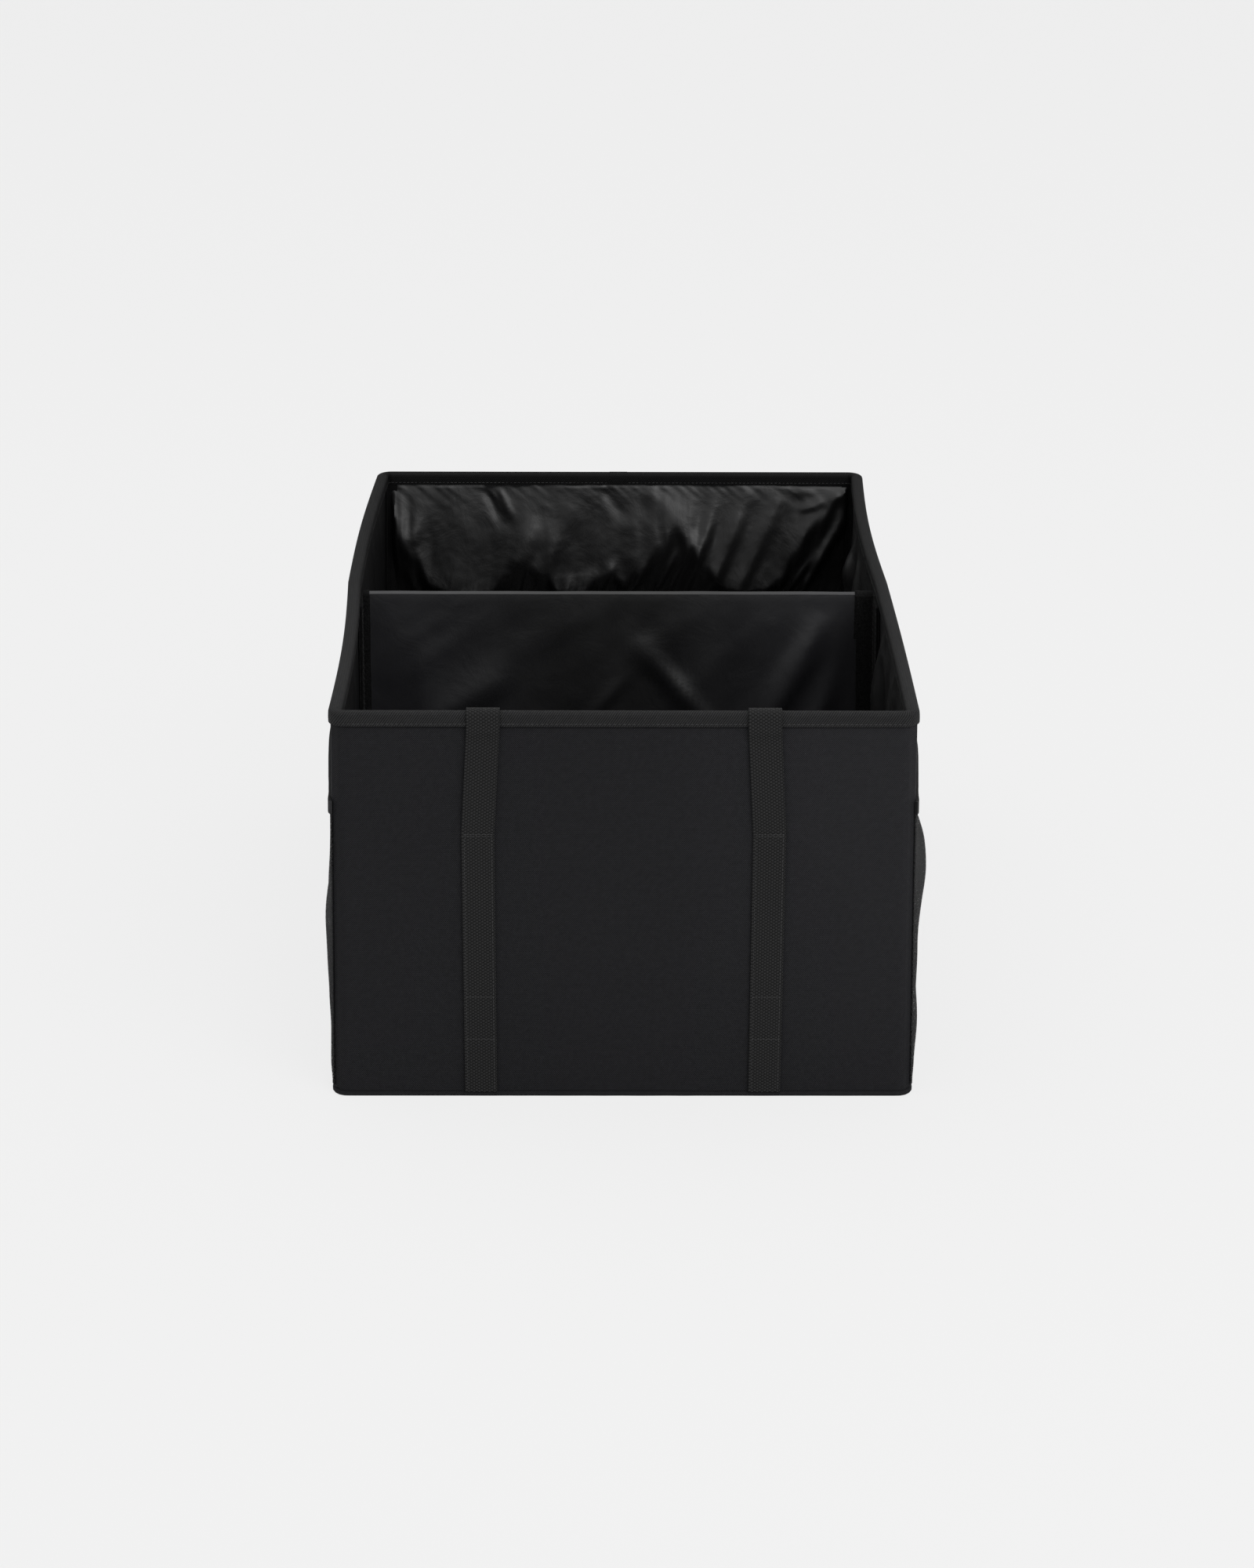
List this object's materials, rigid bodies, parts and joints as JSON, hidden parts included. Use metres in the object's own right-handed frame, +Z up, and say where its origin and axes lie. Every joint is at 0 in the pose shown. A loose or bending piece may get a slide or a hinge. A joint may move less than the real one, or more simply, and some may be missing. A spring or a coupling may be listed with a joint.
{
  "type": "car trunk organizer",
  "caption": "Open-topped collapsible fabric storage box for a car trunk, with an upright divider, webbing handles and mesh side pockets.",
  "frame": {"origin": "on the surface it stands on, under the middle of the box", "axes": "+Z up, -Y towards the end wall whose handle is flipped inside, +X to the right seen from that end"},
  "size_m": [0.3905, 0.5287, 0.2587],
  "materials": {
    "outer_twill": "matte woven polyester twill",
    "lining": "coated lining with a soft shine",
    "binding": "woven tape with a twill rib",
    "webbing": "ribbed webbing",
    "elastic": "knitted elastic tape",
    "pocket_mesh": "knitted mesh with small holes",
    "hook_and_loop": "matte hook and loop pile",
    "board": "plain grey board"
  },
  "bodies": {
    "root": {"front_outer_panel": "outer_twill", "right_outer_panel": "outer_twill", "back_outer_panel": "outer_twill", "left_outer_panel": "outer_twill", "bottom_outer_panel": "outer_twill", "bottom_lining": "lining", "bottom_welt": "binding", "front_board": "board", "back_board": "board", "left_front_board": "board", "left_rear_board": "board", "right_front_board": "board", "right_rear_board": "board", "back_lining": "lining", "front_lining": "lining", "left_lining": "lining", "right_lining": "lining", "front_right_seam_tape": "binding", "right_back_seam_tape": "binding", "back_left_seam_tape": "binding", "left_front_seam_tape": "binding", "rim_binding": "binding", "divider_board": "board", "divider_sleeve": "lining", "left_loop_strip": "hook_and_loop", "left_hook_tab": "hook_and_loop", "right_loop_strip": "hook_and_loop", "right_hook_tab": "hook_and_loop", "front_base_cover": "lining", "front_base_board": "board", "rear_base_cover": "lining", "rear_base_board": "board", "front_handle": "webbing", "back_handle": "webbing", "left_mesh_pocket": "pocket_mesh", "left_pocket_elastic": "elastic", "right_mesh_pocket": "pocket_mesh", "right_pocket_elastic": "elastic"}
  },
  "joints": []
}
